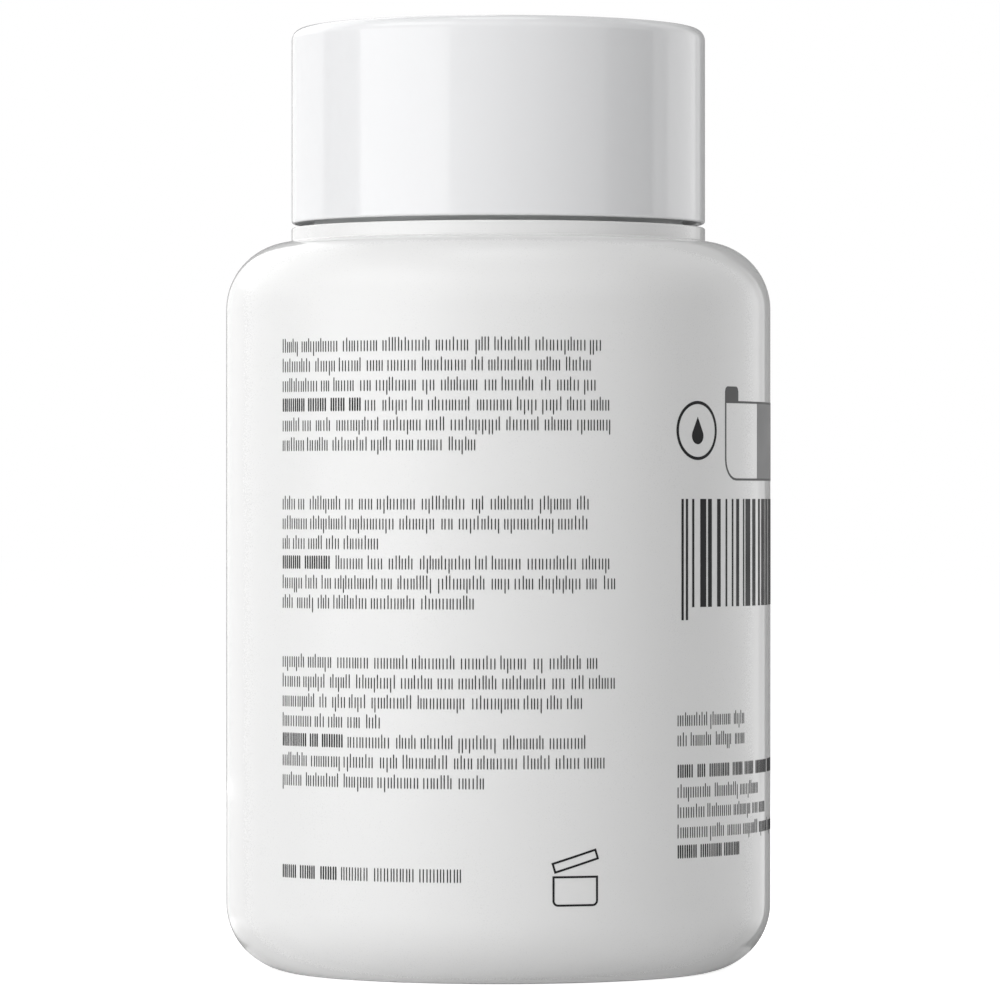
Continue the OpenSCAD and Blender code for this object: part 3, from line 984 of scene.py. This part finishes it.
def drop_loop():
    """A drop in the middle of the ring."""
    centre = (RING_PLACE[0], RING_PLACE[1] + (DROP_R - DROP_TIP) / 2)
    spread = math.acos(DROP_R / DROP_TIP)
    start = math.pi / 2 + spread
    tip = (centre[0], centre[1] + DROP_TIP)
    return arc_points(centre, DROP_R, start, start + 2 * (math.pi - spread), DROP_STEPS) + [tip]


def box_loop(wide, tall):
    return [(-wide / 2, -tall / 2), (wide / 2, -tall / 2), (wide / 2, tall / 2), (-wide / 2, tall / 2)]


def printed_outlines():
    """A ring with a drop, and an open jar."""
    shapes = Shapes()
    shapes.stroke(arc_points(RING_PLACE, RING_R, 0, 2 * math.pi, RING_STEPS)[:-1], RING_LINE)
    shapes.fill(drop_loop())
    x, z = JAR_PLACE
    low, high = (x - JAR_W / 2, z - JAR_TALL / 2), (x + JAR_W / 2, z + JAR_TALL / 2)
    shapes.stroke(rounded_loop(low, high, (JAR_ROUND, JAR_ROUND, 0, 0)), SYMBOL_LINE)
    lid = box_loop(LID_W, LID_TALL)
    c, s = math.cos(LID_TILT), math.sin(LID_TILT)
    tilted = [(LID_PLACE[0] + x * c - z * s, LID_PLACE[1] + x * s + z * c) for x, z in lid]
    shapes.stroke(tilted, SYMBOL_LINE)
    return shapes


def printed_frame():
    """An empty frame with a plain tab on it."""
    shapes = Shapes()
    low, high = (FRAME_X[0], FRAME_Z[0]), (FRAME_X[1], FRAME_Z[1])
    shapes.stroke(rounded_loop(low, high, (FRAME_ROUND, 0, 0, 0)), FRAME_LINE)
    left, top = FRAME_X[0] - FRAME_LINE / 2, FRAME_Z[1] + FRAME_LINE / 2
    shapes.patch((left, left + TAB_W), (top, top + TAB_TALL), TAB_ROUND)
    return shapes


def printed_stripes():
    """A block of plain stripes of uneven width, with two longer ones at its start."""
    rng = random.Random(STRIPE_SEED)
    shapes = Shapes()
    x = STRIPES_X[0]
    for _ in range(LONG_STRIPES):
        shapes.patch((x, x + STRIPE_UNIT), (LONG_STRIPE_LOW, STRIPES_Z[1]))
        x += 2 * STRIPE_UNIT
    x += STRIPE_UNIT
    while x < STRIPES_X[1]:
        wide = rng.choice(STRIPE_WIDES) * STRIPE_UNIT
        shapes.patch((x, x + wide), STRIPES_Z)
        x += wide + rng.choice(STRIPE_GAPS) * STRIPE_UNIT
    return shapes


def printed_panel():
    """A plain filled field inside the frame."""
    shapes = Shapes()
    shapes.patch(PANEL_X, (FRAME_Z[0] + FRAME_LINE / 2, FRAME_Z[1] - FRAME_LINE / 2))
    return shapes


# Stage

CAMERA_DISTANCE = 0.585
CAMERA_HEIGHT = 0.043
CAMERA_LENS = 229.0
CAMERA_SIDE = 0.155 * MM
CAMERA_CLIP = 0.01, 20

AMBIENT = 0.19
FLOOR_HALF = 4
FLOOR_TONE = 0.74
FLOOR_GLOW = 1.0 - FLOOR_TONE * AMBIENT
SKY_SPAN = 0.12, 0.3
SKY_SHADE = 0.35
# HEEL_SHADE with its radii and depths is painted shade on the floor's glow in reflections near the heel
HEEL_SHADE = 0.8
HEEL_SHADE_R = 23.0 * MM, 46.0 * MM
HEEL_SHADE_Y = -22.0 * MM, -4.0 * MM

# Panels that light the object, on arcs: first and last azimuth in degrees, and radiance
BANK_R, BANK_TALL, BANK_STEP = 0.36, 0.5, 17.0
KEY_LIGHT = (-80.7, -26.3, 2.28)
KEY_GAP = 0.15, 0.26
KEY_STEP = 28.0
FRONT_LIGHT = (-26.3, 15.0, 0.52)
RIGHT_LIGHT = (15.0, 60.3, 0.77)
RIGHT_RIM = (106.0, 140.0, 0.81)
LEFT_RIM = (-180.0, -112.6, 1.13)
TOP_PLACE, TOP_SIZE, TOP_RADIANCE = (0, 0, 0.75), (0.3, 0.3), 2.1

# Cards and sheets in reflections: arcs of two azimuths and a radius, then height and tone, or radiance
CARD_LIFT = 0.2 * MM
FRONT_CARD = ((-112.6, 95.0, 1.1), (-112.6, 95.0, 1.2)), 0.3, 0.02
LEFT_CARD = ((-168.0, -112.6, 0.38),), 0.14, 0.02
# The back card's foot, a dull sheet on the floor from the heel outwards, is painted shade behind the heel in
# reflections; its wall is a dark card
BACK_CARD_AND_HEEL_SHADE = ((80.0, 272.3, 0.0254), (149.3, 196.5, 0.3)), 0.2, 0.40
# The left sheet is painted light: a patch of floor with a set glow that only reflections show
LEFT_SHEET = (-160.0, -96.0, 0.05), (-168.0, -112.6, 0.37), 1.14


def bare_wiring(owner):
    """The wiring of a material's or the world's emptied tree."""
    owner.use_nodes = True
    owner.node_tree.nodes.clear()
    return Wiring(owner.node_tree)


def ray_kinds(w):
    """Whether a ray comes from the camera, and whether it is mirrored or let through."""
    path = w.node("ShaderNodeLightPath").outputs
    return path["Is Camera Ray"], w.math("MAXIMUM", path["Is Glossy Ray"], path["Is Transmission Ray"])


def heel_shade(w):
    """Painted shade: less glow in reflections beside and behind the heel, where the object shades the floor.
    """
    place = object_place(w)
    radius = w.node("ShaderNodeVectorMath", {0: place}, operation="LENGTH").outputs["Value"]
    near = w.ramp(radius, *HEEL_SHADE_R, 1.0, 0.0)
    behind = w.ramp(w.split(place)[1], *HEEL_SHADE_Y)
    return w.math("SUBTRACT", 1.0, w.times(HEEL_SHADE, w.times(near, behind)))


def stage_floor():
    half, tone = FLOOR_HALF, FLOOR_TONE
    corners = [(-half, -half, 0), (half, -half, 0), (half, half, 0), (-half, half, 0)]
    floor = new_object("studio_floor", corners, faces=[(0, 1, 2, 3)])
    material = bpy.data.materials.new("pale_floor")
    w = bare_wiring(material)
    paint = w.node("ShaderNodeBsdfDiffuse", {"Color": (tone, tone, tone, 1)})
    camera, mirrored = ray_kinds(w)
    # Reflections see the floor's glow with painted shade beside and behind the heel
    seen = w.math("MAXIMUM", camera, w.times(mirrored, heel_shade(w)))
    glow = w.node("ShaderNodeEmission", {"Strength": w.times(seen, FLOOR_GLOW)})
    both = w.node("ShaderNodeAddShader", {0: paint.outputs[0], 1: glow.outputs[0]})
    w.node("ShaderNodeOutputMaterial", {"Surface": both.outputs[0]})
    floor.data.materials.append(material)


def sky_shade(w):
    """How much dimmer the studio is above the horizon, in reflections."""
    upwards = w.split(w.node("ShaderNodeTexCoord").outputs["Generated"])[2]
    return w.ramp(upwards, *SKY_SPAN, 0.0, SKY_SHADE)


def stage_world():
    world = bpy.data.worlds.new("white_studio")
    bpy.context.scene.world = world
    w = bare_wiring(world)
    camera, mirrored = ray_kinds(w)
    seen = w.math("MAXIMUM", camera, mirrored)
    strength = w.math("ADD", w.times(seen, 1.0 - AMBIENT), AMBIENT)
    kept = w.math("SUBTRACT", 1.0, w.times(mirrored, sky_shade(w)))
    back = w.node("ShaderNodeBackground", {"Color": (1, 1, 1, 1), "Strength": w.times(strength, kept)})
    w.node("ShaderNodeOutputWorld", {"Surface": back.outputs[0]})


def softbox(name, place, target, size, radiance):
    """A soft panel that lights the object and that the camera doesn't see."""
    light = bpy.data.lights.new(name, "AREA")
    light.shape = "RECTANGLE"
    light.size, light.size_y = size
    light.energy = radiance * math.pi * size[0] * size[1]
    obj = linked_object(name, light)
    obj.location = place
    obj.rotation_euler = (Vector(target) - Vector(place)).to_track_quat("-Z", "Y").to_euler()
    obj.visible_camera = False
    return obj


def on_arc(azimuth, distance, height):
    """A place round the object, at an azimuth in degrees from the camera's side."""
    a = math.radians(azimuth)
    return (distance * math.sin(a), -distance * math.cos(a), height)


def softbox_bank(name, first, last, radiance, low=0.0, high=BANK_TALL, widest=BANK_STEP, mirrored=True):
    """Tall soft panels side by side on an arc round the object; mirrored ones show in reflections."""
    count = math.ceil((last - first) / widest)
    step = (last - first) / count
    width = 2 * BANK_R * math.tan(math.radians(step) / 2)
    middle = (low + high) / 2
    for i in range(count):
        place = on_arc(first + step * (i + 0.5), BANK_R, middle)
        panel = softbox(f"{name}_{i + 1}", place, (0, 0, middle), (width, high - low), radiance)
        panel.visible_glossy = mirrored


def arc_row(arc, steps, height):
    """Places along an arc, which is its first and last azimuth and its radius."""
    first, last, radius = arc
    return [on_arc(first + (last - first) * i / steps, radius, height) for i in range(steps + 1)]


def only_in_reflections(sheet, material):
    """Gives a sheet its material and hides it from all but reflections."""
    sheet.data.materials.append(material)
    sheet.visible_camera = False
    sheet.visible_diffuse = False
    sheet.visible_shadow = False


def card(name, arcs, tall, tone):
    """A dull card that shows in reflections only.

    It stands on the last of the arcs, and its foot lies on the floor across the others.
    """
    steps = math.ceil(max(last - first for first, last, _ in arcs) / BANK_STEP)
    rows = [arc_row(arc, steps, CARD_LIFT) for arc in arcs] + [arc_row(arcs[-1], steps, tall)]
    n = steps + 1
    faces = [(r * n + i, r * n + i + 1, (r + 1) * n + i + 1, (r + 1) * n + i)
             for r in range(len(rows) - 1) for i in range(steps)]
    material, _, shader = new_material(name + "_paint")
    shader.inputs["Base Color"].default_value = (tone, tone, tone, 1)
    shader.inputs["Roughness"].default_value = 1.0
    shader.inputs["Specular IOR Level"].default_value = 0.0
    only_in_reflections(new_object(name, sum(rows, []), faces=faces), material)


def glowing_sheet(name, near, far, radiance):
    """A flat sheet on the floor between two arcs, of an even brightness, which shows in reflections only:
    painted light, not a lamp.
    """
    steps = math.ceil((far[1] - far[0]) / BANK_STEP)
    rows = arc_row(near, steps, CARD_LIFT / 2) + arc_row(far, steps, CARD_LIFT / 2)
    faces = [(i, i + 1, steps + i + 2, steps + i + 1) for i in range(steps)]
    material = bpy.data.materials.new(name + "_glow")
    w = bare_wiring(material)
    glow = w.node("ShaderNodeEmission", {"Strength": radiance})
    w.node("ShaderNodeOutputMaterial", {"Surface": glow.outputs[0]})
    only_in_reflections(new_object(name, rows, faces=faces), material)


def stage_camera():
    data = bpy.data.cameras.new("camera")
    data.lens = CAMERA_LENS
    data.clip_start, data.clip_end = CAMERA_CLIP
    camera = linked_object("camera", data)
    camera.location = (CAMERA_SIDE, -CAMERA_DISTANCE, CAMERA_HEIGHT)
    camera.rotation_euler = (math.pi / 2, 0, 0)
    bpy.context.scene.camera = camera


def build_stage():
    stage_camera()
    stage_floor()
    stage_world()
    gap_low, gap_high = KEY_GAP
    softbox_bank("key_light_low", *KEY_LIGHT, 0.0, gap_low, KEY_STEP)
    softbox_bank("key_light_middle", *KEY_LIGHT, gap_low, gap_high, KEY_STEP, mirrored=False)
    softbox_bank("key_light_high", *KEY_LIGHT, gap_high, BANK_TALL, KEY_STEP)
    softbox_bank("front_light", *FRONT_LIGHT)
    softbox_bank("right_light", *RIGHT_LIGHT)
    softbox_bank("right_rim_light", *RIGHT_RIM)
    softbox_bank("left_rim_light", *LEFT_RIM)
    softbox("top_light", TOP_PLACE, (0, 0, 0), TOP_SIZE, TOP_RADIANCE)
    card("front_card", *FRONT_CARD)
    card("left_card", *LEFT_CARD)
    card("back_card", *BACK_CARD_AND_HEEL_SHADE)
    glowing_sheet("left_sheet", *LEFT_SHEET)
    bpy.context.scene.view_settings.view_transform = "Standard"


# The object's pieces on their bodies

def build_bottle(lathe, thread):
    blown, bead = blown_bottle_plastic(), bead_tree()
    bottle = turned("blown_bottle", bottle_corners(), lathe, blown)
    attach(bottle, "bottle")
    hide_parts("bottle")
    neck_thread = thread_piece("neck_thread", thread, NECK_R, NECK_THREAD_Z, OUTWARD, blown)
    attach(neck_thread, "bottle")
    line = mould_line_piece("mould_line", bead, blown)
    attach(line, "bottle")
    pinch = pinch_line_piece("base_pinch_line", bead, blown)
    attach(pinch, "bottle")


def build_print():
    ticks, shapes, ink = tick_tree(), flat_print_tree(), dark_print_ink()
    tick = tick_object()
    rows = printed_ticks().piece("printed_rows", ticks, tick, ink)
    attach(rows, "bottle")
    bpy.data.objects.remove(tick)
    outlines = printed_outlines().piece("printed_outlines", shapes, ink)
    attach(outlines, "bottle")
    frame_line = printed_frame().piece("printed_frame", shapes, grey_print_ink())
    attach(frame_line, "bottle")
    stripes = printed_stripes().piece("printed_stripes", shapes, ink)
    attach(stripes, "bottle")
    panel = printed_panel().piece("printed_panel", shapes, pale_print_ink())
    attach(panel, "bottle")


def build_sponge():
    sponge = foam_piece("sponge_foam", foam_tree(), sponge_foam())
    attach(sponge, "bottle")
    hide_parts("sponge")


def build_cap(lathe, thread):
    inner = inner_cap_plastic()
    shell = turned("outer_cap", cap_shell_corners(), lathe, gloss_cap_plastic())
    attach(shell, "cap")
    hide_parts("cap_shell")
    insert = turned("inner_cap", cap_insert_corners(), lathe, inner)
    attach(insert, "cap")
    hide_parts("cap_insert")
    cap_thread = thread_piece("cap_thread", thread, SKIRT_BORE_R, CAP_THREAD_Z, INWARD, inner)
    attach(cap_thread, "cap")
    ribs = rib_piece("inner_cap_ribs", ring_tree(), inner)
    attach(ribs, "cap")
    liner = turned("sealing_liner", cap_liner_corners(), lathe, liner_foam_sheet())
    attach(liner, "liner")
    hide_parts("cap_liner")


def build_object():
    lathe, thread = lathe_tree(), thread_tree()
    build_bottle(lathe, thread)
    build_print()
    build_sponge()
    build_cap(lathe, thread)


build_stage()
build_object()
